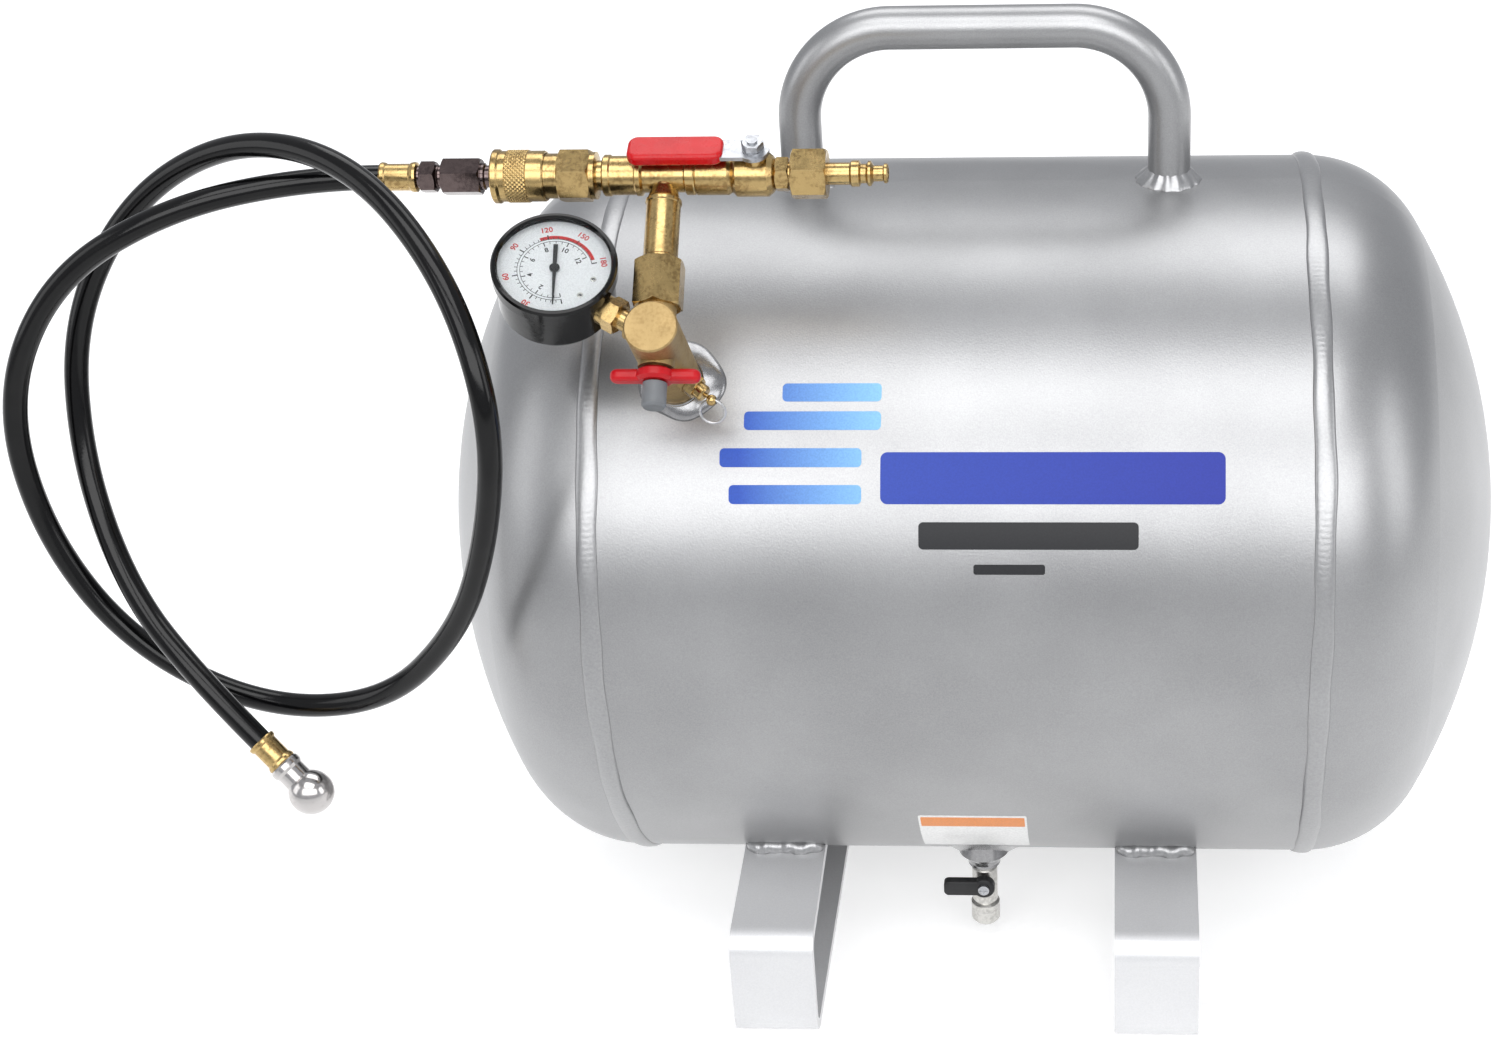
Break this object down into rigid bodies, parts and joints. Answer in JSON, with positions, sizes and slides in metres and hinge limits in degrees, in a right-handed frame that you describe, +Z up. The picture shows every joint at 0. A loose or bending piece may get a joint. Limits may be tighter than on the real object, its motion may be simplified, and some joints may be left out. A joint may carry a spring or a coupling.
{
  "type": "air receiver tank",
  "caption": "Portable horizontal air receiver tank on strap feet, with carrying handle, brass manifold, gauge, valves, quick coupler, hose and ball chuck.",
  "frame": {"origin": "on the floor under the middle of the tank: bottom centre of the object without its hose", "axes": "+X along the tank towards the end without the hose, -Y towards the manifold side, +Z up"},
  "size_m": [0.654, 0.3631, 0.4335],
  "materials": {
    "satin_aluminium": "satin, fine polished grain",
    "weld_bead": "rippled weld bead",
    "weld_blob": "glossy smooth weld",
    "brass": "turned, lightly tarnished",
    "chrome": "polished",
    "dark_chrome": "polished dark chrome",
    "nickel": "nickel plated",
    "zinc_steel": "bright zinc plated",
    "spring_steel": "drawn wire",
    "red_vinyl": "dipped soft vinyl",
    "red_plastic": "moulded, glossy",
    "grey_plastic": "moulded",
    "black_enamel": "glossy black enamel",
    "gauge_glass": "clear lens",
    "dial_white": "printed white dial",
    "needle_black": "satin black",
    "black_rubber": "glossy extruded cover",
    "black_plastic": "moulded"
  },
  "bodies": {
    "tank": {"ball_chuck": "chrome", "bourdon_tube": "brass", "chuck_neck": "chrome", "coupler_balls": "chrome", "coupler_body": "brass", "coupler_spring": "spring_steel", "drain_body": "nickel", "drain_bung": "weld_blob", "drain_weld": "weld_blob", "ferrule_far": "brass", "ferrule_near": "brass", "foot_left": "satin_aluminium", "foot_right": "satin_aluminium", "foot_weld_left": "weld_bead", "foot_weld_right": "weld_bead", "gauge_bezel": "black_enamel", "gauge_case": "black_enamel", "gauge_dial": "dial_white", "gauge_lens": "gauge_glass", "gauge_movement": "brass", "gauge_stem": "brass", "girth_weld_left": "weld_bead", "girth_weld_right": "weld_bead", "handle": "satin_aluminium", "handle_welds": "weld_bead", "head_left": "satin_aluminium", "head_right": "satin_aluminium", "hex_adapter": "brass", "hose": "black_rubber", "hose_hex": "dark_chrome", "hose_plug": "dark_chrome", "manifold_body": "brass", "manifold_bung": "weld_blob", "manifold_weld": "weld_blob", "plug_nipple": "brass", "relief_body": "brass", "relief_spring": "spring_steel", "riser_coupler": "brass", "riser_tube": "brass", "tank_shell": "satin_aluminium", "tee": "brass", "valve_body": "brass"},
    "coupler_sleeve": {"coupler_sleeve": "brass"},
    "valve_lever": {"valve_ball": "chrome", "valve_stem": "brass", "valve_lever": "zinc_steel", "valve_grip": "red_vinyl", "lever_nut": "zinc_steel"},
    "gauge_needle": {"gauge_needle": "needle_black"},
    "shutoff": {"shutoff_stem": "brass", "shutoff_handle": "red_plastic"},
    "dust_cap": {"dust_cap": "grey_plastic"},
    "relief_pull": {"relief_stem": "brass"},
    "relief_ring": {"relief_ring": "spring_steel"},
    "drain_lever": {"drain_ball": "chrome", "drain_lever": "black_plastic", "drain_screw": "zinc_steel"}
  },
  "joints": [
    {"name": "sleeve_slide", "type": "slide", "parent": "tank", "child": "coupler_sleeve", "axis": [1, 0, 0], "range_m": [0, 0.004], "stiffness_N_per_m": 900, "springref_m": -0.004, "deforming": ["coupler_spring"]},
    {"name": "valve_turn", "type": "hinge", "parent": "tank", "child": "valve_lever", "pos_m": [-0.079, -0.09964, 0.39433], "axis": [0, -0.3746, 0.9272], "range_deg": [0, 90]},
    {"name": "needle_turn", "type": "hinge", "parent": "tank", "child": "gauge_needle", "pos_m": [-0.15788, -0.13993, 0.37154], "axis": [-0.1294, 0.5098, -0.8505], "range_deg": [0, 258], "stiffness_Nm_per_rad": 0.0002, "springref_deg": -5.73},
    {"name": "shutoff_turn", "type": "hinge", "parent": "tank", "child": "shutoff", "pos_m": [-0.117, -0.14866, 0.34144], "axis": [0, -0.7193, -0.6947], "range_deg": [0, 540]},
    {"name": "cap_slide", "type": "slide", "parent": "shutoff", "child": "dust_cap", "axis": [0, -0.7193, -0.6947], "range_m": [0, 0.02]},
    {"name": "relief_slide", "type": "slide", "parent": "tank", "child": "relief_pull", "axis": [0.766, -0.4624, -0.4465], "range_m": [0, 0.002], "stiffness_N_per_m": 1200, "springref_m": -0.002, "deforming": ["relief_spring"]},
    {"name": "ring_swing", "type": "hinge", "parent": "relief_pull", "child": "relief_ring", "pos_m": [-0.09816, -0.14197, 0.31175], "axis": [1, 0, 0], "range_deg": [-30, 30]},
    {"name": "drain_turn", "type": "hinge", "parent": "tank", "child": "drain_lever", "pos_m": [0.006, -0.096, 0.037], "axis": [0, -1, 0], "range_deg": [0, 90]}
  ]
}
